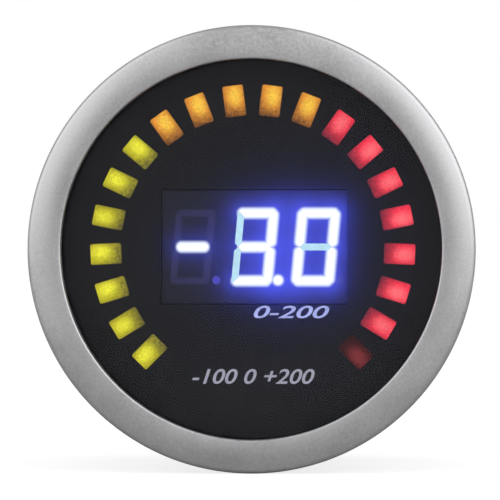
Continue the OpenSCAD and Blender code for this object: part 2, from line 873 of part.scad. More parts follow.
// A bead with round ends, centred along x
module strap_bead(width, h) {
    run = strap_bead_l - strap_bead_w;
    block([run, width, h]);
    for (side = [-1, 1]) translate([side * run / 2, 0, 0]) cylinder(d = width, h = h);
}

module clamp_bracket() {
    reach = leg_r + strap_t + over;
    leg_l = strap_gap + case_l + strap_t;
    color("#8f9194") facing_out() difference() {
        union() {
            intersection() {
                rotate_extrude() polygon(strap_outline());
                translate([-reach, -strap_w / 2, -leg_l - over]) cube([2 * reach, strap_w, leg_l + over]);
            }
            translate([0, 0, strap_back_z - strap_bead_h])
                strap_bead(strap_bead_w, strap_bead_h + strap_t / 2);
        }
        translate([0, 0, strap_back_z - strap_bead_h + strap_t])
            strap_bead(strap_bead_w - strap_t * 2, strap_bead_h + over);
        at_studs() translate([0, 0, strap_back_z - over]) cylinder(r = strap_hole_r, h = strap_t + 2 * over);
    }
}

module lock_washers() {
    color("#a6a8ab") facing_out() at_studs() translate([0, 0, washer_z]) difference() {
        cylinder(r = washer_r, h = washer_t);
        translate([0, 0, -over]) cylinder(r = strap_hole_r, h = washer_t + 2 * over);
        translate([0, -washer_slit / 2, -over]) cube([washer_r + over, washer_slit, washer_t + 2 * over]);
    }
}

// Knurled nut: boss towards the strap, grooved band, round cap
module thumb_nut() {
    crest = nut_d / 2;
    band_z = -nut_boss_l - nut_band_l;
    difference() {
        union() {
            translate([0, 0, -nut_boss_l]) cylinder(r = nut_boss_r, h = nut_boss_l);
            translate([0, 0, band_z]) cylinder(r = crest - nut_edge, h = nut_band_l);
            translate([0, 0, band_z + nut_edge]) linear_extrude(nut_band_l - 2 * nut_edge) polygon([
                for (i = [0 : nut_groove_n - 1], side = [0 : 3])
                    let (
                        a = (i + side / 4) * 360 / nut_groove_n,
                        r = side < 2 ? crest : crest - nut_groove_depth
                    )
                    [r * cos(a), r * sin(a)]
            ]);
            translate([0, 0, band_z - nut_cap_l])
                cylinder(r1 = nut_cap_r - nut_edge, r2 = nut_cap_r, h = nut_cap_l);
        }
        translate([0, 0, band_z - nut_cap_l - over])
            cylinder(r = nut_bore_r, h = nut_cap_l + nut_band_l + nut_boss_l + 2 * over);
    }
}

module thumb_nut_left() {
    color("#c2a25a") facing_out() translate([-stud_x, 0, washer_z]) thumb_nut();
}

module thumb_nut_right() {
    color("#c2a25a") facing_out() translate([stud_x, 0, washer_z]) thumb_nut();
}

bezel_ring();
lens();
lens_gasket();
dial_mask();
light_box();
bar_windows_yellow();
bar_windows_orange();
bar_windows_red();
legend_windows();
bar_leds_yellow();
bar_leds_orange();
bar_leds_red();
legend_leds();
display_housing();
display_digits();
display_points();
display_pins();
display_board();
main_board();
header_strips();
header_pins();
board_spacers();
board_screws();
microcontroller();
voltage_regulator();
capacitors();
crystal();
chip_resistors();
pressure_sensor();
sensor_tube();
case_can();
hose_barb();
barb_nut();
barb_seal();
wiring_socket();
wiring_pins();
mounting_studs();
stud_nuts();
clamp_bracket();
lock_washers();
thumb_nut_left();
thumb_nut_right();
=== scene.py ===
import json
import math

import bpy
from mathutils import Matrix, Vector


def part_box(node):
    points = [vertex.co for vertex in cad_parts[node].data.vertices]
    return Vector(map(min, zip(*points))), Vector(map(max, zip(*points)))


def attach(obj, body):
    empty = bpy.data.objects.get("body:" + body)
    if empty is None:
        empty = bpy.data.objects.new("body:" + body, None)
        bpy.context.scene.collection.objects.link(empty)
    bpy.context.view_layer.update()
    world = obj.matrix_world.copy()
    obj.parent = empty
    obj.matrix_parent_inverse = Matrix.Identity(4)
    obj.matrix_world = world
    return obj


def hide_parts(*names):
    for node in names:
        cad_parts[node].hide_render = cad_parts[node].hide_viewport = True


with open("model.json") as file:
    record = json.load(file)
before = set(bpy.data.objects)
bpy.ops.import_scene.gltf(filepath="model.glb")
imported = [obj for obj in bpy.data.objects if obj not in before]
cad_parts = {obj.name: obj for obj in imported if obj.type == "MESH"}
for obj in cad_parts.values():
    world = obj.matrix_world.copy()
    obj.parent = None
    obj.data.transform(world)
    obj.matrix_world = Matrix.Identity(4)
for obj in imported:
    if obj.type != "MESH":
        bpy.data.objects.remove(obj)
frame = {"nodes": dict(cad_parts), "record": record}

bl_info = {
    "name": "Boost gauge",
    "version": (1, 0, 0),
    "blender": (4, 5, 0),
    "location": "View3D > Sidebar > Gauge",
    "description": "Dresses the packed boost gauge, front and rear",
    "category": "Object",
}

# The front looks along -Y, the top is +Z and the case runs back along +Y. Lengths are in metres.
RECORD = frame["record"]
SLOT_OF = {part["node"]: part["material_slot"] for part in RECORD["subparts"]}
COLOUR_OF = {m["slot"]: tuple(m["base_color"][:3]) for m in RECORD["materials"]}
BODY_OF = {n: body for body, names in RECORD["behaviour"]["bodies"].items() for n in names}
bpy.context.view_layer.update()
RING_LOW, RING_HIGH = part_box("bezel_ring")
STUD_LOW, STUD_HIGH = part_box("mounting_studs")
FILM_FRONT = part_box("dial_mask")[0].y
MM = 0.001
TAU = 2 * math.pi
ORIGIN, BLACK, WHITE = (0.0, 0.0, 0.0), (0.0, 0.0, 0.0, 1.0), (1.0, 1.0, 1.0, 1.0)


class GaugeSizes(bpy.types.PropertyGroup):
    """Sizes that the dressing adds to the solids or has to know of them."""

    ring_steps: bpy.props.IntProperty(
        name="Ring steps", description="Straight steps round the turned bezel", default=256)
    ring_radius: bpy.props.FloatProperty(
        name="Ring radius", description="Outer radius of the bezel", default=RING_HIGH.x,
        unit="LENGTH")
    ring_height: bpy.props.FloatProperty(
        name="Ring height", description="Height of the bezel above the panel",
        default=-RING_LOW.y, unit="LENGTH")
    bar_first: bpy.props.FloatProperty(
        name="First bar", description="Clock angle of the first light bar",
        default=math.radians(-135.47), subtype="ANGLE")
    bar_pitch: bpy.props.FloatProperty(
        name="Bar pitch", description="Angle from one light bar to the next",
        default=math.radians(14.26), subtype="ANGLE")
    bar_radius: bpy.props.FloatProperty(
        name="Bar radius", description="From the dial's middle to the bars",
        default=0.01814, unit="LENGTH")
    dial_x: bpy.props.FloatProperty(
        name="Dial x", description="Middle of the dial, sideways", default=0.00004, unit="LENGTH")
    dial_z: bpy.props.FloatProperty(
        name="Dial z", description="Middle of the dial, upwards", default=0.00029,
        unit="LENGTH")
    bar_length: bpy.props.FloatProperty(
        name="Bar length", description="Length of a light bar along the radius", default=0.00383,
        unit="LENGTH")
    bar_width: bpy.props.FloatProperty(
        name="Bar width", description="Width of a light bar", default=0.00255, unit="LENGTH")
    digit_lean: bpy.props.FloatProperty(
        name="Digit lean", description="Lean of the digits", default=math.radians(5.3),
        subtype="ANGLE")
    digit_pitch: bpy.props.FloatProperty(
        name="Digit pitch", description="Distance from one digit to the next", default=0.0076,
        unit="LENGTH")
    digit_width: bpy.props.FloatProperty(
        name="Digit width", description="Width of a digit", default=0.00488, unit="LENGTH")
    digit_height: bpy.props.FloatProperty(
        name="Digit height", description="Height of a digit", default=0.0092, unit="LENGTH")
    segment_width: bpy.props.FloatProperty(
        name="Segment width", description="Width of a display segment", default=0.00085,
        unit="LENGTH")
    display_x: bpy.props.FloatProperty(
        name="Display x", description="Middle of the display, sideways", default=0.00024,
        unit="LENGTH")
    display_z: bpy.props.FloatProperty(
        name="Display z", description="Middle of the display, upwards", default=0.00029,
        unit="LENGTH")
    stud_radius: bpy.props.FloatProperty(
        name="Stud radius", description="Radius over the thread's crests", default=0.002,
        unit="LENGTH")
    stud_x: bpy.props.FloatProperty(
        name="Stud distance", description="Distance of a stud from the gauge's axis", default=0.017,
        unit="LENGTH")
    thread_pitch: bpy.props.FloatProperty(
        name="Thread pitch", description="Pitch of the stud's thread", default=0.0007,
        unit="LENGTH")
    thread_depth: bpy.props.FloatProperty(
        name="Thread depth", description="Depth of the stud's thread", default=0.0004,
        unit="LENGTH")
    camera_distance: bpy.props.FloatProperty(
        name="Camera distance", description="Distance of the camera from the bezel", default=0.5,
        unit="LENGTH")
    camera_turn: bpy.props.FloatProperty(
        name="Camera turn", description="Turn of the camera to the right of the axis",
        default=math.radians(2.5), subtype="ANGLE")
    picture_width: bpy.props.FloatProperty(
        name="Picture width", description="Width of the view at the bezel", default=0.06115,
        unit="LENGTH")


class GaugeColours(bpy.types.PropertyGroup):
    """Colours that the dressing adds to those of the record's slots."""

    bar_yellow: bpy.props.FloatVectorProperty(
        name="Yellow bars", description="Light of the yellow bars", default=(0.46, 0.42, 0.010),
        subtype="COLOR")
    bar_orange: bpy.props.FloatVectorProperty(
        name="Orange bars", description="Light of the orange bars", default=(0.74, 0.28, 0.028),
        subtype="COLOR")
    bar_red: bpy.props.FloatVectorProperty(
        name="Red bars", description="Light of the red bars", default=(0.88, 0.032, 0.068),
        subtype="COLOR")
    field_blue: bpy.props.FloatVectorProperty(
        name="Display field", description="Light between the lit segments",
        default=(0.058, 0.080, 0.80), subtype="COLOR")
    numbers_upper: bpy.props.FloatVectorProperty(
        name="Upper numbers", description="Light of the upper numbers", default=(0.34, 0.38, 0.72),
        subtype="COLOR")
    numbers_lower: bpy.props.FloatVectorProperty(
        name="Lower numbers", description="Light of the lower numbers", default=(0.30, 0.30, 0.36),
        subtype="COLOR")


# Small tools for meshes

def pick(*objects):
    """Leaves edit mode and selects only these objects."""
    if bpy.context.object and bpy.context.object.mode != "OBJECT":
        bpy.ops.object.mode_set(mode="OBJECT")
    bpy.ops.object.select_all(action="DESELECT")
    for obj in objects:
        obj.select_set(True)
    bpy.context.view_layer.objects.active = objects[0] if objects else None


def edit_all(obj):
    """Opens a mesh in edit mode with everything selected."""
    pick(obj)
    bpy.ops.object.mode_set(mode="EDIT")
    bpy.ops.mesh.select_all(action="SELECT")


def close_up(obj, doubles=1e-6):
    """Merges doubles and turns all faces outwards."""
    edit_all(obj)
    bpy.ops.mesh.remove_doubles(threshold=doubles)
    bpy.ops.mesh.normals_make_consistent(inside=False)
    bpy.ops.object.mode_set(mode="OBJECT")


def applied(obj, kind, **settings):
    """Adds a modifier with these settings and applies it."""
    pick(obj)
    modifier = obj.modifiers.new(kind.lower(), kind)
    for name, value in settings.items():
        setattr(modifier, name, value)
    bpy.ops.object.modifier_apply(modifier=modifier.name)


def break_edges(obj, width):
    """Bevels the sharp edges and marks the new faces as worn."""
    mesh = obj.data
    while len(mesh.materials) < 2:
        mesh.materials.append(None)
    applied(obj, "BEVEL", width=width, segments=2, limit_method="ANGLE",
            angle_limit=math.radians(40), harden_normals=True, material=1, use_clamp_overlap=True)
    worn = mesh.attributes.new("worn", "FLOAT", "FACE")
    for face, mark in zip(mesh.polygons, worn.data):
        mark.value = float(face.material_index == 1)
        face.material_index = 0
    mesh.materials.clear()


def smooth(obj, angle=32):
    """Shades a mesh smooth except over edges sharper than the angle, in degrees."""
    pick(obj)
    bpy.ops.object.shade_smooth_by_angle(angle=math.radians(angle))


def skin(node, bevel=0.0):
    """A merged, smooth copy of one of the frame's solids, its edges broken by the bevel."""
    doubles, flat = 1.5e-6, math.radians(0.4)
    mesh = frame["nodes"][node].data.copy()
    mesh.materials.clear()
    obj = bpy.data.objects.new(node + "_skin", mesh)
    bpy.context.scene.collection.objects.link(obj)
    pick(obj)
    bpy.ops.mesh.customdata_custom_splitnormals_clear()
    edit_all(obj)
    bpy.ops.mesh.remove_doubles(threshold=doubles)
    bpy.ops.mesh.dissolve_limited(angle_limit=flat)
    smooth(obj)
    if bevel:
        break_edges(obj, bevel)
    return obj


def keep(obj, material, *nodes):
    """Finishes a piece: its material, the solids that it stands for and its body."""
    if not obj.data.materials:
        obj.data.materials.append(material)
    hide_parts(*nodes)
    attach(obj, BODY_OF[nodes[0]])
    return obj


def outline_strip(name, points):
    """Draws an outline of (x, y) points by extruding one vertex from place to place."""
    pick()
    bpy.ops.mesh.primitive_plane_add(size=MM)
    obj = bpy.context.object
    obj.name = name
    edit_all(obj)
    bpy.ops.mesh.merge(type="CENTER")
    bpy.ops.transform.translate(value=(*points[0], 0))
    for (x0, y0), (x1, y1) in zip(points, points[1:]):
        bpy.ops.mesh.extrude_region_move(TRANSFORM_OT_translate={"value": (x1 - x0, y1 - y0, 0)})
    return obj


def turned(name, points, steps):
    """Spins a closed outline of (radius, y) points round the gauge's axis."""
    obj = outline_strip(name, points + points[:1])
    bpy.ops.mesh.select_all(action="SELECT")
    bpy.ops.mesh.spin(steps=steps, angle=TAU, center=ORIGIN, axis=(0, 1, 0))
    close_up(obj)
    return obj


def arc(x, y, radius, start, end, steps):
    """Points along an arc, angles in degrees."""
    angles = [math.radians(start + (end - start) * i / steps) for i in range(steps + 1)]
    return [(x + radius * math.cos(a), y + radius * math.sin(a)) for a in angles]


# Small tools for materials

def put(tree, socket, value):
    """Links a socket to another one, or sets its value."""
    if isinstance(value, bpy.types.NodeSocket):
        tree.links.new(value, socket)
    else:
        socket.default_value = value


def calc(tree, operation, *values, kind="ShaderNodeMath", out="Value"):
    """A math node."""
    made = tree.nodes.new(kind)
    made.operation = operation
    for socket, value in zip(made.inputs, values):
        put(tree, socket, value)
    return made.outputs[out]


def vector_calc(tree, operation, *values, out="Vector"):
    """A vector math node."""
    return calc(tree, operation, *values, kind="ShaderNodeVectorMath", out=out)


def scaled(tree, vector, factor):
    """A vector or colour times a value."""
    return vector_calc(tree, "SCALE", vector, ORIGIN, ORIGIN, factor)


def hypotenuse(tree, a, b):
    """Square root of the sum of two squares."""
    return calc(tree, "SQRT", calc(tree, "ADD", calc(tree, "MULTIPLY", a, a),
                                   calc(tree, "MULTIPLY", b, b)))


def noise(tree, vector, scale, detail=2.0):
    """A noise value about 0.5."""
    made = tree.nodes.new("ShaderNodeTexNoise")
    put(tree, made.inputs["Vector"], vector)
    put(tree, made.inputs["Scale"], scale)
    put(tree, made.inputs["Detail"], detail)
    return made.outputs["Fac"]


def span(tree, value, low, high, to_low=0.0, to_high=1.0):
    """Maps a value smoothly from one range to another."""
    made = tree.nodes.new("ShaderNodeMapRange")
    made.interpolation_type = "SMOOTHSTEP"
    for socket, number in zip(made.inputs, (value, low, high, to_low, to_high)):
        put(tree, socket, number)
    return made.outputs["Result"]


def tinted(tree, factor, first, second):
    """A colour mix node."""
    made = tree.nodes.new("ShaderNodeMix")
    made.data_type = "RGBA"
    put(tree, made.inputs[0], factor)
    for socket, colour in ((made.inputs[6], first), (made.inputs[7], second)):
        if not isinstance(colour, bpy.types.NodeSocket):
            colour = tuple(colour)[:3] + (1.0,)
        put(tree, socket, colour)
    return made.outputs[2]


def parts_of(tree, vector):
    """The three parts of a vector."""
    made = tree.nodes.new("ShaderNodeSeparateXYZ")
    put(tree, made.inputs[0], vector)
    return made.outputs


def new_group(name, inputs, *outputs):
    """An empty shader group. An input is a number, vector or colour by its default, and an output
    is a number unless it is called Colour."""
    tree = bpy.data.node_groups.new(name, "ShaderNodeTree")
    for label, value in inputs.items():
        kind = "Float" if isinstance(value, float) else "Color" if len(value) == 4 else "Vector"
        socket = tree.interface.new_socket(label, in_out="INPUT", socket_type="NodeSocket" + kind)
        socket.default_value = value
    for label in outputs:
        kind = "Color" if label == "Colour" else "Float"
        tree.interface.new_socket(label, in_out="OUTPUT", socket_type="NodeSocket" + kind)
    return tree, tree.nodes.new("NodeGroupInput").outputs, tree.nodes.new("NodeGroupOutput").inputs


def placed(tree, group, **values):
    """Puts a group into a material with its own values."""
    made = tree.nodes.new("ShaderNodeGroup")
    made.node_tree = bpy.data.node_groups[group]
    for name, value in values.items():
        put(tree, made.inputs[name.replace("_", " ")], value)
    return made.outputs


def fresh_material(name, **constants):
    """A material with a Principled shader, its constants and the object coordinates."""
    material = bpy.data.materials.new(name)
    material.use_nodes = True
    tree = material.node_tree
    shader = tree.nodes["Principled BSDF"]
    for label, value in constants.items():
        shader.inputs[label.replace("_", " ")].default_value = value
    return material, tree, shader, tree.nodes.new("ShaderNodeTexCoord").outputs["Object"]


def build_grain_group():
    """Surface grain: fine and broad noise that varies colour, roughness and height."""
    broad_scale, fine_weight, broad_weight = 0.05, 0.6, 0.4
    gain, least_roughness = 4.0, 0.02
    tree, given, result = new_group(
        "surface grain",
        {"Vector": ORIGIN, "Colour": BLACK, "Scale": 4000.0, "Tint": 0.1, "Roughness": 0.5,
         "Spread": 0.1}, "Colour", "Roughness", "Height")
    fine = noise(tree, given["Vector"], given["Scale"], 3.0)
    broad = noise(tree, given["Vector"], calc(tree, "MULTIPLY", given["Scale"], broad_scale), 4.0)
    both = calc(tree, "ADD", calc(tree, "MULTIPLY", fine, fine_weight),
                calc(tree, "MULTIPLY", broad, broad_weight))
    swing = calc(tree, "SUBTRACT", both, 0.5)
    lift = calc(tree, "MULTIPLY_ADD", swing, calc(tree, "MULTIPLY", given["Tint"], gain), 1.0)
    rough = calc(tree, "MULTIPLY_ADD", swing, calc(tree, "MULTIPLY", given["Spread"], gain),
                 given["Roughness"])
    put(tree, result["Colour"], scaled(tree, given["Colour"], lift))
    put(tree, result["Roughness"], calc(tree, "MAXIMUM", rough, least_roughness))
    put(tree, result["Height"], fine)


def build_wear_group():
    """Edge wear: broken edges get a second colour, in patches."""
    patch_scale, patch_start, patch_full = 900.0, 0.38, 0.62
    tree, given, result = new_group(
        "edge wear",
        {"Vector": ORIGIN, "Colour": BLACK, "Worn Colour": WHITE, "Amount": 0.5}, "Colour")
    edge = tree.nodes.new("ShaderNodeAttribute")
    edge.attribute_name = "worn"
    patches = span(tree, noise(tree, given["Vector"], patch_scale, 4.0), patch_start, patch_full)
    mask = calc(tree, "MULTIPLY", calc(tree, "MULTIPLY", edge.outputs["Fac"], patches),
                given["Amount"])
    put(tree, result["Colour"], tinted(tree, mask, given["Colour"], given["Worn Colour"]))


def build_lathe_group():
    """Lathe marks: fine rings along the turning axis, which lies along Y."""
    stretch = 0.02
    tree, given, result = new_group(
        "lathe marks", {"Vector": ORIGIN, "Scale": 9000.0}, "Height")
    rings = vector_calc(tree, "MULTIPLY", given["Vector"], (stretch, 1.0, stretch))
    put(tree, result["Height"], noise(tree, rings, given["Scale"], 2.0))


# Numbers of bars, counted clockwise from 0: the one that stays unlit, and none
LAST_BAR, NO_BAR = 19.0, 99.0


def build_bar_group(sizes):
    """Light of a bar: hot spot near its outer end, dim mottled inner end, one bar almost unlit."""
    # Places and distances on a bar, in halves of its width and of its length from its middle
    spot_x, spot_y, spot_sway, spot_edge, spot_core = -0.05, 0.32, 0.3, 1.0, 0.1
    dim_end, bright_end, skew = -1.35, 0.25, 0.12
    side_start, side_end, side_level = 0.55, 1.15, 0.55
    # Levels of light, and scales of noise per metre
    least_level, level_spread, speckle_gain = 0.90, 0.14, 0.95
    ember_edge, ember_low, ember_high = 1.3, 0.02, 0.16
    speckle_scale, mottle_scale = 5200.0, 3200.0
    tree, given, result = new_group(
        "bar light",
        {"Vector": ORIGIN, "Colour": WHITE, "Hot Colour": WHITE, "Dim Colour": BLACK,
         "Mottle": 0.3, "Unlit Bar": NO_BAR}, "Colour")
    x, _, z = parts_of(tree, vector_calc(tree, "SUBTRACT", given["Vector"],
                                         (sizes.dial_x, 0.0, sizes.dial_z)))
    clock = calc(tree, "ARCTAN2", x, z)
    turns = calc(tree, "DIVIDE", calc(tree, "SUBTRACT", clock, sizes.bar_first), sizes.bar_pitch)
    index = calc(tree, "ROUND", turns)
    off = calc(tree, "MULTIPLY", calc(tree, "SUBTRACT", turns, index), sizes.bar_pitch)
    radius = hypotenuse(tree, x, z)
    across = calc(tree, "DIVIDE", calc(tree, "MULTIPLY", radius, calc(tree, "SINE", off)),
                  sizes.bar_width / 2)
    outwards = calc(tree, "MULTIPLY", radius, calc(tree, "COSINE", off))
    along = calc(tree, "DIVIDE", calc(tree, "SUBTRACT", outwards, sizes.bar_radius),
                 sizes.bar_length / 2)
    cell = tree.nodes.new("ShaderNodeTexWhiteNoise")
    cell.noise_dimensions = "1D"
    put(tree, cell.inputs["W"], index)
    own = cell.outputs["Value"]
    speckle = calc(tree, "SUBTRACT", noise(tree, given["Vector"], speckle_scale, 2.0), 0.5)
    mottle = calc(tree, "SUBTRACT", noise(tree, given["Vector"], mottle_scale, 4.0), 0.5)
    mottle = calc(tree, "MULTIPLY", mottle, given["Mottle"])
    hot_x = calc(tree, "SUBTRACT", across, calc(tree, "MULTIPLY_ADD", own, spot_sway, spot_x))
    away = hypotenuse(tree, hot_x, calc(tree, "SUBTRACT", along, spot_y))
    hot = span(tree, calc(tree, "ADD", away, calc(tree, "MULTIPLY", mottle, 0.5)),
               spot_edge, spot_core)
    skewed = calc(tree, "ADD", along, calc(tree, "MULTIPLY", across, skew))
    lit = span(tree, calc(tree, "ADD", skewed, calc(tree, "MULTIPLY", mottle, 2.0)),
               dim_end, bright_end)
    side = span(tree, calc(tree, "ABSOLUTE", across), side_start, side_end, 1.0, side_level)
    body = tinted(tree, calc(tree, "MULTIPLY", lit, side), given["Dim Colour"], given["Colour"])
    body = tinted(tree, hot, body, given["Hot Colour"])
    grain = calc(tree, "MULTIPLY_ADD", speckle, speckle_gain, 1.0)
    level = calc(tree, "MULTIPLY", grain,
                 calc(tree, "MULTIPLY_ADD", own, level_spread, least_level))
    unlit = calc(tree, "COMPARE", index, given["Unlit Bar"], 0.5)
    ember = span(tree, away, ember_edge, spot_core, ember_low, ember_high)
    level = calc(tree, "MULTIPLY", level, calc(tree, "MULTIPLY_ADD", unlit,
                                               calc(tree, "SUBTRACT", ember, 1.0), 1.0))
    put(tree, result["Colour"], scaled(tree, body, level))


def segment_lines(sizes):
    """Middle lines of the display's segments in millimetres, by digit and letter."""
    w = (sizes.digit_width - sizes.segment_width) / 2 / MM
    h = (sizes.digit_height - sizes.segment_width) / 2 / MM
    # How far a line stops short of the middle segment and of the corners
    mid, end = 0.65, 0.22
    plain = {"a": ((end - w, h), (w - end, h)), "b": ((w, h - end), (w, mid)),
             "c": ((w, -mid), (w, end - h)), "d": ((end - w, -h), (w - end, -h)),
             "e": ((-w, end - h), (-w, -mid)), "f": ((-w, mid), (-w, h - end)),
             "g": ((mid - w, 0), (w - mid, 0))}
    lean = math.tan(sizes.digit_lean)
    lines = {}
    for digit in range(3):
        cx = (sizes.display_x + (digit - 1) * sizes.digit_pitch) / MM
        cz = sizes.display_z / MM
        for letter, ends in plain.items():
            lines[digit, letter] = [(cx + x + z * lean, 0.0, cz + z) for x, z in ends]
    return lines


def middle_point(sizes):
    """Place of the middle digit's decimal point, in millimetres across and up."""
    aside, rise = 0.6, 0.5
    return Vector(((sizes.display_x + sizes.digit_width * aside) / MM, 0.0,
                   (sizes.display_z - sizes.digit_height / 2) / MM + rise))


# Which segments are lit: the display reads -3.0. The pale ones are unlit and carry painted light
# from their lit neighbours.
DASH = (0, "g")
LIT = {DASH} | {(1, s) for s in "abcdg"} | {(2, s) for s in "abcdef"}
PALE = {(1, "e"), (1, "f"), (2, "g")}
# Marks of the segments and points, and the ranges of the mark over which each look comes in. The
# pale and faint marks stand for painted glow on unlit segments and points.
LIT_MARK, PALE_MARK, FAINT_MARK, DARK_MARK = 1.0, 0.5, 0.08, 0.0
LIT_RANGE, PALE_RANGE, FAINT_RANGE = (0.6, 0.9), (0.1, 0.4), (0.02, 0.06)


def build_segment_group():
    """Distance to one lit segment, as painted light that spreads far and as a near painted halo."""
    glow_reach, glow_fall, halo_edge, halo_core = 1.8, -1.5, 1.02, 0.48
    tree, given, result = new_group(
        "segment light", {"Vector": ORIGIN, "Start": ORIGIN, "End": (1.0, 0.0, 0.0)}, "Far", "Near")
    reach = vector_calc(tree, "SUBTRACT", given["End"], given["Start"])
    here = vector_calc(tree, "SUBTRACT", given["Vector"], given["Start"])
    share = calc(tree, "DIVIDE", vector_calc(tree, "DOT_PRODUCT", here, reach, out="Value"),
                 vector_calc(tree, "DOT_PRODUCT", reach, reach, out="Value"))
    share = calc(tree, "MINIMUM", calc(tree, "MAXIMUM", share, 0.0), 1.0)
    foot = scaled(tree, reach, share)
    away = vector_calc(tree, "LENGTH", vector_calc(tree, "SUBTRACT", here, foot), out="Value")
    spread = calc(tree, "DIVIDE", away, glow_reach)
    spread = calc(tree, "MULTIPLY_ADD", spread, spread, 1.0)
    put(tree, result["Far"], calc(tree, "POWER", spread, glow_fall))
    put(tree, result["Near"], span(tree, away, halo_edge, halo_core))


def build_field_group(sizes):
    """Painted light of all lit segments together: a broad field and the halo round each segment."""
    dash_share, curve, strength, point_half = 0.6, 1.5, -0.75, 0.01
    tree, given, result = new_group("display field", {"Vector": ORIGIN}, "Field", "Halo")
    flat = vector_calc(tree, "MULTIPLY", given["Vector"], (1 / MM, 0.0, 1 / MM))
    lines = segment_lines(sizes)
    lights = [(lines[key], dash_share if key == DASH else 1.0) for key in sorted(LIT)]
    x, y, z = middle_point(sizes)
    lights.append((((x - point_half, y, z), (x + point_half, y, z)), 1.0))
    far, near = 0.0, 0.0
    for (start, end), share in lights:
        one = placed(tree, "segment light", Vector=flat, Start=start, End=end)
        far = calc(tree, "MULTIPLY_ADD", one["Far"], share, far)
        near = calc(tree, "MAXIMUM", near, one["Near"])
    depth = calc(tree, "MULTIPLY", calc(tree, "POWER", far, curve), strength)
    put(tree, result["Field"], calc(tree, "SUBTRACT", 1.0, calc(tree, "EXPONENT", depth)))
    put(tree, result["Halo"], near)


# How each slot is finished: roughness and its spread, metallic, grain scale per metre, tint, bump
# depth in metres, colour of worn edges, amount of wear, and weight of a clear coat
FINISH = {
    "seal_rubber": (0.62, 0.10, 0, 5000, 0.25, 4e-6, (0.05, 0.05, 0.05), 0.3, 0),
    "black_moulding": (0.55, 0.10, 0, 5200, 0.20, 4e-6, (0.04, 0.04, 0.04), 0.3, 0),
    "case_black": (0.52, 0.14, 0, 3600, 0.22, 1.6e-5, (0.085, 0.085, 0.09), 0.6, 0),
    "legend_pad": (0.55, 0.08, 0, 4000, 0.06, 2e-6, (0.8, 0.8, 0.8), 0, 0),
    "led_body": (0.35, 0.08, 0, 4000, 0.06, 2e-6, (0.8, 0.8, 0.8), 0, 0.3),
    "board_green": (0.34, 0.10, 0, 2500, 0.25, 5e-6, (0.30, 0.26, 0.12), 0.8, 0.4),
    "pin_gold": (0.28, 0.10, 1, 6000, 0.10, 2e-6, (0.9, 0.75, 0.4), 0.5, 0),
    "pin_tin": (0.34, 0.12, 1, 6000, 0.10, 2e-6, (0.8, 0.8, 0.8), 0.5, 0),
    "header_black": (0.48, 0.10, 0, 4200, 0.20, 4e-6, (0.05, 0.05, 0.05), 0.4, 0),
    "spacer_white": (0.46, 0.08, 0, 4200, 0.06, 3e-6, (0.85, 0.85, 0.8), 0.3, 0),
    "zinc_steel": (0.36, 0.14, 1, 2600, 0.14, 3e-6, (0.80, 0.80, 0.82), 0.8, 0),
    "chip_black": (0.50, 0.10, 0, 5200, 0.25, 4e-6, (0.05, 0.05, 0.05), 0.3, 0),
    "can_silver": (0.26, 0.12, 1, 2400, 0.08, 2e-6, (0.85, 0.85, 0.85), 0.5, 0),
    "tube_silicone": (0.48, 0.08, 0, 3000, 0.06, 4e-6, (0.8, 0.78, 0.7), 0, 0),
    "barb_brass": (0.27, 0.12, 1, 2200, 0.16, 2e-6, (0.95, 0.76, 0.40), 0.8, 0),
    "socket_ivory": (0.44, 0.10, 0, 3800, 0.08, 7e-6, (0.90, 0.88, 0.82), 0.5, 0),
    "strap_steel": (0.38, 0.16, 1, 1800, 0.18, 5e-6, (0.75, 0.75, 0.77), 0.8, 0),
    "nut_brass": (0.30, 0.12, 1, 2400, 0.16, 3e-6, (0.95, 0.78, 0.42), 0.8, 0),
}


def grained(name, colour, scale, tint, rough, spread, depth=0.0, wear=None, lathe=False,
            **constants):
    """A material with a surface grain. Depth is the bump's in metres, and wear is the colour of
    worn edges with its amount."""
    material, tree, shader, where = fresh_material(name, **constants)
    base = placed(tree, "surface grain", Vector=where, Colour=tuple(colour) + (1.0,), Scale=scale,
                  Tint=tint, Roughness=rough, Spread=spread)
    tone, height = base["Colour"], base["Height"]
    if wear:
        tone = placed(tree, "edge wear", Vector=where, Colour=tone, Worn_Colour=wear[0] + (1.0,),
                      Amount=wear[1])["Colour"]
    if lathe:
        height = calc(tree, "ADD", height, placed(tree, "lathe marks", Vector=where)["Height"])
    put(tree, shader.inputs["Base Color"], tone)
    put(tree, shader.inputs["Roughness"], base["Roughness"])
    if depth:
        bump = tree.nodes.new("ShaderNodeBump")
        bump.inputs["Strength"].default_value = 1.0
        bump.inputs["Distance"].default_value = depth
        put(tree, bump.inputs["Height"], height)
        put(tree, shader.inputs["Normal"], bump.outputs[0])
    return material, tree, shader, where


def slot_material(slot):
    """The finished material of a slot, made once."""
    if slot in bpy.data.materials:
        return bpy.data.materials[slot]
    rough, spread, metal, scale, tint, depth, worn, amount, coat = FINISH[slot]
    return grained(slot, COLOUR_OF[slot], scale, tint, rough, spread, depth, wear=(worn, amount),
                   lathe=slot in ("barb_brass", "nut_brass"), Metallic=metal, Coat_Weight=coat)[0]


def ring_material():
    """Satin blasted aluminium with fine speckle and faint broad blotches."""
    return grained("satin_ring", COLOUR_OF["satin_ring"], scale=3000.0, tint=0.16, rough=0.40,
                   spread=0.12, depth=5e-6, Metallic=1.0)[0]


def lens_material():
    """Smoked clear window."""
    return grained("smoked_lens", (0.86, 0.86, 0.89), scale=900.0, tint=0.01, rough=0.03,
                   spread=0.02, Metallic=0.0, Transmission_Weight=1.0, IOR=1.2)[0]


def film_material(colours):
    """Black printed film with a painted glow: some of the display's blue light."""
    caught = 0.8
    material, tree, shader, where = grained(
        "dial_film", (0.008, 0.008, 0.010), scale=2600.0, tint=0.12, rough=0.62, spread=0.08,
        depth=2e-6, Emission_Strength=1.0, Specular_IOR_Level=0.15)
    field = placed(tree, "display field", Vector=where)["Field"]
    put(tree, shader.inputs["Emission Color"],
        scaled(tree, tuple(colours.field_blue), calc(tree, "MULTIPLY", field, caught)))
    return material


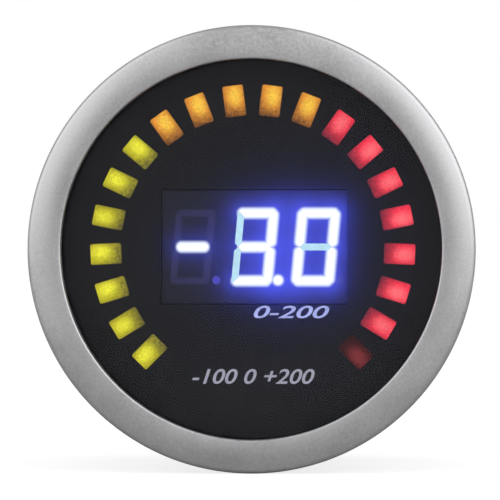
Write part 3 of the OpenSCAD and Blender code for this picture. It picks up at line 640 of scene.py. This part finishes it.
def with_halo(tree, light, colour):
    """Painted glow: a colour that turns bluish white close to the lit segments."""
    return tinted(tree, calc(tree, "MULTIPLY", light["Halo"], light["Halo"]), colour,
                  (0.72, 0.80, 1.0))


def housing_material(colours):
    """Dark potted face of the display, with a painted blue glow from the segments round it."""
    cloud_scale, cloud_gain, cloud_base = 700.0, 0.25, 0.875
    material, tree, shader, where = grained(
        "display_body", (0.012, 0.012, 0.02), scale=2600.0, tint=0.15, rough=0.5, spread=0.08,
        depth=2e-6, Emission_Strength=1.2, Specular_IOR_Level=0.2)
    light = placed(tree, "display field", Vector=where)
    # Painted glow from the segments, made uneven by a cloudy noise
    cloud = calc(tree, "MULTIPLY_ADD", noise(tree, where, cloud_scale, 2.0), cloud_gain, cloud_base)
    field = scaled(tree, tuple(colours.field_blue), calc(tree, "MULTIPLY", light["Field"], cloud))
    put(tree, shader.inputs["Emission Color"], with_halo(tree, light, field))
    return material


def pad_material(slot, colour, hot, dim, mottle, unlit):
    """Diffuser pad of a light bar."""
    unlit_share = 0.04
    material, tree, shader, where = grained(
        slot, [c * unlit_share for c in colour], scale=4200.0, tint=0.1, rough=0.5, spread=0.1,
        depth=3e-6, Emission_Strength=1.2, Specular_IOR_Level=0.2)
    light = placed(tree, "bar light", Vector=where, Colour=tuple(colour) + (1.0,),
                   Hot_Colour=hot + (1.0,), Dim_Colour=dim + (1.0,), Mottle=mottle, Unlit_Bar=unlit)
    put(tree, shader.inputs["Emission Color"], light["Colour"])
    return material


def resin_material():
    """Cast segments: lit, pale, faint or dark by their mark. Only the lit ones shine by themselves;
    the pale, faint and dark ones carry painted glow from them.
    """
    dark_blue, field_blue = (0.006, 0.006, 0.032), (0.07, 0.085, 0.70)
    faint_blue, edge_blue = (0.05, 0.045, 0.42), (0.10, 0.14, 0.80)
    # Painted light spilled onto the pale segments from their lit neighbours
    spill_light = (0.44, 0.70, 0.80)
    streak_scale, streak_gain, streak_base = 1400.0, 0.4, 0.8
    core_start, core_full = 0.25, 0.75
    material, tree, shader, where = grained(
        "segment_resin", (0.02, 0.02, 0.04), scale=3600.0, tint=0.1, rough=0.4, spread=0.08,
        Emission_Strength=1.25, Specular_IOR_Level=0.2)
    mark = tree.nodes.new("ShaderNodeAttribute")
    mark.attribute_name = "lit"
    level = mark.outputs["Fac"]
    light = placed(tree, "display field", Vector=where)
    # Painted field and halo of the lit segments on the unlit ones
    glow = with_halo(tree, light, tinted(tree, light["Field"], dark_blue, field_blue))
    # Painted faint glow on the faint marks
    glow = tinted(tree, span(tree, level, *FAINT_RANGE), glow, faint_blue)
    streaks = calc(tree, "MULTIPLY_ADD", noise(tree, where, streak_scale, 3.0), streak_gain,
                   streak_base)
    glow = tinted(tree, span(tree, level, *PALE_RANGE), glow, scaled(tree, spill_light, streaks))
    white = tinted(tree, span(tree, light["Halo"], core_start, core_full), edge_blue, WHITE)
    glow = tinted(tree, span(tree, level, *LIT_RANGE), glow, white)
    put(tree, shader.inputs["Emission Color"], glow)
    return material


def number_material(name, colour):
    """Numbers that shine through the film."""
    print_scale, print_gain, print_base = 2500.0, 0.7, 0.65
    material, tree, shader, where = fresh_material(name, Roughness=0.5, Emission_Strength=1.2)
    shader.inputs["Base Color"].default_value = (0.02, 0.02, 0.03, 1.0)
    thin = calc(tree, "MULTIPLY_ADD", noise(tree, where, print_scale, 3.0), print_gain, print_base)
    put(tree, shader.inputs["Emission Color"], scaled(tree, tuple(colour), thin))
    return material


# Pieces

def islands(mesh):
    """Groups the faces of a mesh that hang together."""
    parent = list(range(len(mesh.vertices)))

    def root(i):
        """The vertex that stands for the group of this one."""
        while parent[i] != i:
            parent[i] = parent[parent[i]]
            i = parent[i]
        return i

    for edge in mesh.edges:
        a, b = (root(i) for i in edge.vertices)
        parent[a] = b
    groups = {}
    for face in mesh.polygons:
        groups.setdefault(root(face.vertices[0]), []).append(face)
    return list(groups.values())


def middle_of(mesh, faces):
    """Middle of the box round some faces, in millimetres across and up."""
    spots = [mesh.vertices[i].co for face in faces for i in face.vertices]
    xs, zs = [p.x for p in spots], [p.z for p in spots]
    return Vector(((min(xs) + max(xs)) / 2 / MM, 0.0, (min(zs) + max(zs)) / 2 / MM))


def mark_lit(obj, places):
    """Marks every island of a mesh with the level of the nearest of the places."""
    mark = obj.data.attributes.new("lit", "FLOAT", "FACE")
    for faces in islands(obj.data):
        middle = middle_of(obj.data, faces)
        level = min(places, key=lambda place: (place[0] - middle).length)[1]
        for face in faces:
            mark.data[face.index].value = level


def numbers(name, body, box, colour):
    """Plain numbers on the film, as a thin raised print that fills a box given in millimetres."""
    left, right, low, high = (side * MM for side in box)
    pick()
    bpy.ops.object.text_add(location=ORIGIN)
    obj = bpy.context.object
    obj.name = name
    text = obj.data
    text.body = body
    text.shear, text.extrude, text.offset, text.resolution_u = 0.28, 0.004, 0.012, 6
    bpy.ops.object.convert(target="MESH")
    xs = [v.co.x for v in obj.data.vertices]
    ys = [v.co.y for v in obj.data.vertices]
    wide = (right - left) / (max(xs) - min(xs))
    tall = (high - low) / (max(ys) - min(ys))
    proud = 0.02 * MM
    obj.scale = (wide, tall, MM)
    obj.rotation_euler = (math.pi / 2, 0, 0)
    obj.location = (left - min(xs) * wide, FILM_FRONT - proud, low - min(ys) * tall)
    bpy.ops.object.transform_apply(location=True, rotation=True, scale=True)
    close_up(obj, 1e-7)
    obj.data.materials.append(number_material(name, colour))
    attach(obj, "gauge")


def bezel_outline(sizes):
    """Outline of the bezel as (radius, y), from the panel round the outside to the bore."""
    # The bore fits over the neck of the case with a gap, and its mouth widens to the barrel
    gap, barrel_r, mouth, chamfer = 0.00005, 0.026, 0.0004, 0.0003
    bore_r = barrel_r - mouth + gap
    # The lip reaches inwards over the gasket and the window, its back a height above the panel
    lip_reach, lip = 0.00228, 0.0072
    window_r = bore_r - lip_reach
    # The face is a broad crown between a rounded outer edge and the roll of the lip
    crown_r, roll_r, edge_r = 0.009, 0.00083, 0.0008
    crown_x = window_r + roll_r
    height, radius = sizes.ring_height, sizes.ring_radius
    slope_y = height - crown_r
    edge_x = radius - edge_r
    edge_y = slope_y + math.sqrt((crown_r - edge_r) ** 2 - (edge_x - crown_x) ** 2)
    meet = math.degrees(math.atan2(edge_y - slope_y, edge_x - crown_x))
    # The crown bends inwards a little further and then breaks over a small edge
    bend, lip_r = 6, 0.00022
    bend_r = lip_r + (roll_r - lip_r) / math.sin(math.radians(bend))
    lip_y = height - bend_r + (bend_r - lip_r) * math.cos(math.radians(bend))
    front = [(barrel_r + gap, 0.0), (radius - chamfer, 0.0), (radius, chamfer)]
    front += arc(edge_x, edge_y, edge_r, 0, meet, 10)
    front += arc(crown_x, slope_y, crown_r, meet, 90, 24)[1:]
    front += arc(crown_x, height - bend_r, bend_r, 90, 90 + bend, 4)[1:]
    front += arc(window_r + lip_r, lip_y, lip_r, 90 + bend, 180, 10)[1:]
    # A bead in the bore snaps into the groove of the neck
    bead, bead_w, groove = 0.0024, 0.0009, 0.0003
    foot, top = bead_w / 3, bead_w / 8
    bead_r = bore_r - groove + gap
    front += [(window_r, lip), (bore_r, lip), (bore_r, bead + foot), (bead_r, bead + top),
              (bead_r, bead - top), (bore_r, bead - foot), (bore_r, mouth)]
    return [(r, -y) for r, y in front]


def screw_thread(name, x, start, end, sizes):
    """A helical thread along Y, cut square at both ends."""
    inset, spare_turns, steps, doubles = 0.02 * MM, 3, 24, 2e-7
    crest, pitch = sizes.stud_radius - inset, sizes.thread_pitch
    root = crest - sizes.thread_depth
    turns = math.ceil((end - start) / pitch) + spare_turns
    lead = spare_turns / 2 * pitch
    points = [(root, 0), (crest, pitch * 0.4), (crest, pitch * 0.55), (root, pitch * 0.95),
              (root, pitch)]
    obj = outline_strip(name, [(r, start - lead + y) for r, y in points])
    applied(obj, "SCREW", axis="Y", angle=TAU, screw_offset=pitch, iterations=turns, steps=steps,
            render_steps=steps, use_merge_vertices=True)
    close_up(obj, doubles)
    for place, direction in ((start, -1), (end, 1)):
        edit_all(obj)
        bpy.ops.mesh.bisect(plane_co=(0, place, 0), plane_no=(0, direction, 0), use_fill=True,
                            clear_outer=True, threshold=1e-7)
    edit_all(obj)
    bpy.ops.transform.translate(value=(x, 0, 0))
    close_up(obj, doubles)
    return obj


def hex_head(name, x, across, start, end):
    """A hexagon along Y."""
    pick()
    bpy.ops.mesh.primitive_cylinder_add(
        vertices=6, radius=across / math.sqrt(3), depth=end - start,
        location=(x, (start + end) / 2, 0), rotation=(math.pi / 2, 0, 0))
    obj = bpy.context.object
    obj.name = name
    bpy.ops.object.transform_apply(location=True, rotation=True, scale=True)
    return obj


def joined(*objects):
    """Makes one mesh of several."""
    pick(*objects)
    bpy.ops.object.join()
    return bpy.context.object


def dress(**bevels):
    """Skins solids in the materials of their slots, with bevels given in millimetres."""
    for node, bevel in bevels.items():
        keep(skin(node, bevel * MM), slot_material(SLOT_OF[node]), node)


# Colours of a bar's hot spot and dim end, how mottled it is, and which bar is unlit
BAR_LIGHT = {
    "yellow": ((0.80, 0.77, 0.04), (0.085, 0.070, 0.020), 0.9, NO_BAR),
    "orange": ((0.90, 0.55, 0.055), (0.075, 0.026, 0.010), 0.7, NO_BAR),
    "red": ((1.0, 0.14, 0.16), (0.075, 0.012, 0.028), 0.4, LAST_BAR),
}

# Name, place, width and power of each lamp
LAMPS = (("lamp_left", (-0.50, -0.34, 0.30), 0.34, 0.6),
         ("lamp_right", (0.50, -0.34, 0.30), 0.34, 0.6),
         ("lamp_top", (0.0, 0.05, 0.62), 0.50, 0.9))


class GAUGE_OT_finishes(bpy.types.Operator):
    """Builds the shared node groups of the finishes"""
    bl_idname = "gauge.finishes"
    bl_label = "Finishes"

    def execute(self, context):
        sizes = context.scene.gauge_sizes
        build_grain_group()
        build_wear_group()
        build_lathe_group()
        build_bar_group(sizes)
        build_segment_group()
        build_field_group(sizes)
        return {"FINISHED"}


class GAUGE_OT_bezel(bpy.types.Operator):
    """Turns the satin bezel ring"""
    bl_idname = "gauge.bezel"
    bl_label = "Bezel ring"

    def execute(self, context):
        sizes = context.scene.gauge_sizes
        ring = turned("bezel_ring_turned", bezel_outline(sizes), sizes.ring_steps)
        smooth(ring, 30)
        keep(ring, ring_material(), "bezel_ring")
        return {"FINISHED"}


class GAUGE_OT_window(bpy.types.Operator):
    """Makes the smoked window and its gasket"""
    bl_idname = "gauge.window"
    bl_label = "Window and gasket"

    def execute(self, context):
        keep(skin("lens"), lens_material(), "lens")
        dress(lens_gasket=0.05)
        return {"FINISHED"}


class GAUGE_OT_dial(bpy.types.Operator):
    """Dresses the film, the light box and the plain numbers"""
    bl_idname = "gauge.dial"
    bl_label = "Dial"

    def execute(self, context):
        colours = context.scene.gauge_colours
        keep(skin("dial_mask"), film_material(colours), "dial_mask")
        dress(light_box=0, legend_windows=0, legend_leds=0)
        numbers("dial_numbers_upper", "0-200", (0.2, 9.5, -8.5, -6.95), colours.numbers_upper)
        numbers("dial_numbers_lower", "-100 0 +200", (-7.4, 7.7, -16.6, -14.75),
                colours.numbers_lower)
        return {"FINISHED"}


class GAUGE_OT_bars(bpy.types.Operator):
    """Lights the ring of bars"""
    bl_idname = "gauge.bars"
    bl_label = "Light bars"

    def execute(self, context):
        for name, light in BAR_LIGHT.items():
            colour = getattr(context.scene.gauge_colours, "bar_" + name)
            window = "bar_windows_" + name
            keep(skin(window), pad_material(name + "_pad", colour, *light), window)
            dress(**{"bar_leds_" + name: 0})
        return {"FINISHED"}


class GAUGE_OT_display(bpy.types.Operator):
    """Lights the three digits"""
    bl_idname = "gauge.display"
    bl_label = "Display"

    def execute(self, context):
        sizes = context.scene.gauge_sizes
        keep(skin("display_housing"), housing_material(context.scene.gauge_colours),
             "display_housing")
        resin = resin_material()
        digits = skin("display_digits")
        places = []
        for key, (start, end) in segment_lines(sizes).items():
            level = LIT_MARK if key in LIT else PALE_MARK if key in PALE else DARK_MARK
            places.append(((Vector(start) + Vector(end)) / 2, level))
        mark_lit(digits, places)
        keep(digits, resin, "display_digits")
        points = skin("display_points")
        middle, step = middle_point(sizes), sizes.digit_pitch / MM
        # The left point carries a faint painted glow, the middle one is lit and the right one is
        # dark
        levels = ((-1, FAINT_MARK), (0, LIT_MARK), (1, DARK_MARK))
        mark_lit(points, [(middle + Vector((i * step, 0, 0)), level) for i, level in levels])
        keep(points, resin, "display_points")
        dress(display_pins=0)
        return {"FINISHED"}


class GAUGE_OT_case(bpy.types.Operator):
    """Dresses the moulded case"""
    bl_idname = "gauge.case"
    bl_label = "Case"

    def execute(self, context):
        dress(case_can=0.12)
        return {"FINISHED"}


class GAUGE_OT_studs(bpy.types.Operator):
    """Cuts the threaded studs and their nuts"""
    bl_idname = "gauge.studs"
    bl_label = "Studs"

    def execute(self, context):
        head_across, head_height, head_bevel, sunk = 7 * MM, 2.4 * MM, 0.2 * MM, 0.2 * MM
        sizes = context.scene.gauge_sizes
        made = []
        for side in (-1, 1):
            x = side * sizes.stud_x
            head = hex_head("stud_head", x, head_across, STUD_LOW.y, STUD_LOW.y + head_height)
            break_edges(head, head_bevel)
            thread = screw_thread("stud_thread", x, STUD_LOW.y + sunk, STUD_HIGH.y, sizes)
            made += [head, thread]
        studs = joined(*made)
        studs.name = "mounting_studs_threaded"
        smooth(studs, 30)
        keep(studs, slot_material("zinc_steel"), "mounting_studs")
        dress(stud_nuts=0.15)
        return {"FINISHED"}


class GAUGE_OT_clamp(bpy.types.Operator):
    """Dresses the strap, the washers and the knurled nuts"""
    bl_idname = "gauge.clamp"
    bl_label = "Clamp"

    def execute(self, context):
        dress(clamp_bracket=0.08, lock_washers=0.08, thumb_nut_left=0.06, thumb_nut_right=0.06)
        return {"FINISHED"}


class GAUGE_OT_hose_side(bpy.types.Operator):
    """Dresses the hose barb and the pressure cell"""
    bl_idname = "gauge.hose_side"
    bl_label = "Hose side"

    def execute(self, context):
        dress(hose_barb=0.06, barb_nut=0.2, barb_seal=0.1, pressure_sensor=0.1, sensor_tube=0.1)
        return {"FINISHED"}


class GAUGE_OT_wiring(bpy.types.Operator):
    """Dresses the plug socket and its pins"""
    bl_idname = "gauge.wiring"
    bl_label = "Wiring socket"

    def execute(self, context):
        dress(wiring_socket=0.1, wiring_pins=0.1)
        return {"FINISHED"}


class GAUGE_OT_boards(bpy.types.Operator):
    """Dresses the boards and what sits on them"""
    bl_idname = "gauge.boards"
    bl_label = "Boards"

    def execute(self, context):
        dress(display_board=0, main_board=0, header_strips=0.05, header_pins=0.05,
              board_spacers=0.05, board_screws=0.05, microcontroller=0.05,
              voltage_regulator=0.05, capacitors=0.05, crystal=0.05, chip_resistors=0)
        return {"FINISHED"}


class GAUGE_OT_stage(bpy.types.Operator):
    """Sets up the floor, the light and the camera"""
    bl_idname = "gauge.stage"
    bl_label = "Stage"

    def execute(self, context):
        scene, sizes = context.scene, context.scene.gauge_sizes
        scene.view_settings.view_transform = "Standard"
        self.floor(sizes)
        self.surround(scene)
        for name, place, width, power in LAMPS:
            self.lamp(name, Vector(place), width, power)
        scene.camera = self.camera(sizes)
        return {"FINISHED"}

    def camera(self, sizes):
        """The photograph's view: from the front, a little from the right."""
        aside, sensor = -0.000086, 36.0
        turn, away = sizes.camera_turn, sizes.camera_distance
        aim = Vector((aside, -sizes.ring_height, aside))
        place = aim + away * Vector((math.sin(turn), -math.cos(turn), 0))
        pick()
        bpy.ops.object.camera_add(location=place)
        camera = bpy.context.object
        camera.rotation_euler = (aim - camera.location).to_track_quat("-Z", "Y").to_euler()
        camera.data.sensor_width = sensor
        camera.data.lens = sensor * away / sizes.picture_width
        camera.data.clip_start = 0.01
        return camera

    def floor(self, sizes):
        """A pale floor under the ring, which looks nearly white round the shadow."""
        width, gap, grey, mottle, lift = 6.0, 0.00002, 0.30, 0.04, 0.80
        pick()
        bpy.ops.mesh.primitive_plane_add(size=width, location=(0, 0, -sizes.ring_radius - gap))
        plane = bpy.context.object
        plane.name = "floor"
        material, tree, shader, where = fresh_material(
            "pale_floor", Roughness=0.9, Specular_IOR_Level=0.1)
        grain = calc(tree, "MULTIPLY_ADD", noise(tree, where, 60.0, 3.0), mottle, grey)
        put(tree, shader.inputs["Base Color"], tinted(tree, grain, BLACK, WHITE))
        glow = tree.nodes.new("ShaderNodeEmission")
        put(tree, glow.inputs["Strength"], calc(tree, "MULTIPLY", self.seen(tree), lift))
        both = tree.nodes.new("ShaderNodeAddShader")
        put(tree, both.inputs[0], shader.outputs[0])
        put(tree, both.inputs[1], glow.outputs[0])
        put(tree, tree.nodes["Material Output"].inputs["Surface"], both.outputs[0])
        plane.data.materials.append(material)

    def seen(self, tree):
        """1 for what the camera sees, directly or through the window."""
        path = tree.nodes.new("ShaderNodeLightPath").outputs
        return calc(tree, "MAXIMUM", path["Is Camera Ray"], path["Is Transmission Ray"])

    def surround(self, scene):
        """Light from all round: grey in front with a soft box at each side, white to the eye."""
        # Each side's light comes in over a range of x, and fades downwards over a range of z
        right, left = (0.06, 0.42, 0.0, 1.28), (-0.08, -0.45, 0.0, 0.95)
        fade, front_level = (-0.52, 0.0, 0.25, 1.0), 0.29
        back_start, back_full, back_level = -0.15, 0.35, 0.40
        world = scene.world or bpy.data.worlds.new("studio")
        scene.world = world
        world.use_nodes = True
        tree = world.node_tree
        back = tree.nodes["Background"]
        x, y, z = parts_of(tree, tree.nodes.new("ShaderNodeTexCoord").outputs["Generated"])
        sides = calc(tree, "ADD", span(tree, x, *right), span(tree, x, *left))
        front = calc(tree, "MULTIPLY_ADD", sides, span(tree, z, *fade), front_level)
        behind = span(tree, y, back_start, back_full)
        level = calc(tree, "ADD",
                     calc(tree, "MULTIPLY", front, calc(tree, "SUBTRACT", 1.0, behind)),
                     calc(tree, "MULTIPLY", behind, back_level))
        seen = self.seen(tree)
        unseen = calc(tree, "SUBTRACT", 1.0, seen)
        level = calc(tree, "ADD", calc(tree, "MULTIPLY", level, unseen), seen)
        put(tree, back.inputs["Strength"], level)
        back.inputs["Color"].default_value = WHITE

    def lamp(self, name, place, width, power):
        """A square soft lamp that looks at the gauge and doesn't mirror in it."""
        pick()
        bpy.ops.object.light_add(type="AREA", location=place)
        lamp = bpy.context.object
        lamp.name = name
        lamp.data.size = width
        lamp.data.energy = power
        lamp.visible_glossy = False
        lamp.rotation_euler = (-place).to_track_quat("-Z", "Y").to_euler()


OPERATORS = (GAUGE_OT_finishes, GAUGE_OT_bezel, GAUGE_OT_window, GAUGE_OT_dial, GAUGE_OT_bars,
             GAUGE_OT_display, GAUGE_OT_case, GAUGE_OT_studs, GAUGE_OT_clamp, GAUGE_OT_hose_side,
             GAUGE_OT_wiring, GAUGE_OT_boards, GAUGE_OT_stage)


class GAUGE_PT_panel(bpy.types.Panel):
    """Lists the gauge's pieces, sizes and colours"""
    bl_idname = "GAUGE_PT_panel"
    bl_label = "Boost gauge"
    bl_space_type = "VIEW_3D"
    bl_region_type = "UI"
    bl_category = "Gauge"

    def draw(self, context):
        for operator in OPERATORS:
            self.layout.operator(operator.bl_idname)
        for group in (context.scene.gauge_sizes, context.scene.gauge_colours):
            for name in group.bl_rna.properties.keys():
                if name not in ("rna_type", "name"):
                    self.layout.prop(group, name)


CLASSES = (GaugeSizes, GaugeColours) + OPERATORS + (GAUGE_PT_panel,)


def register():
    """Registers the classes and hangs the sizes and colours on the scene."""
    for item in CLASSES:
        bpy.utils.register_class(item)
    bpy.types.Scene.gauge_sizes = bpy.props.PointerProperty(type=GaugeSizes)
    bpy.types.Scene.gauge_colours = bpy.props.PointerProperty(type=GaugeColours)


def unregister():
    """Takes back what register did."""
    del bpy.types.Scene.gauge_sizes
    del bpy.types.Scene.gauge_colours
    for item in reversed(CLASSES):
        bpy.utils.unregister_class(item)


def main():
    """Builds everything in order."""
    register()
    for operator in OPERATORS:
        module, name = operator.bl_idname.split(".")
        getattr(getattr(bpy.ops, module), name)()
    pick()


if __name__ == "__main__":
    main()
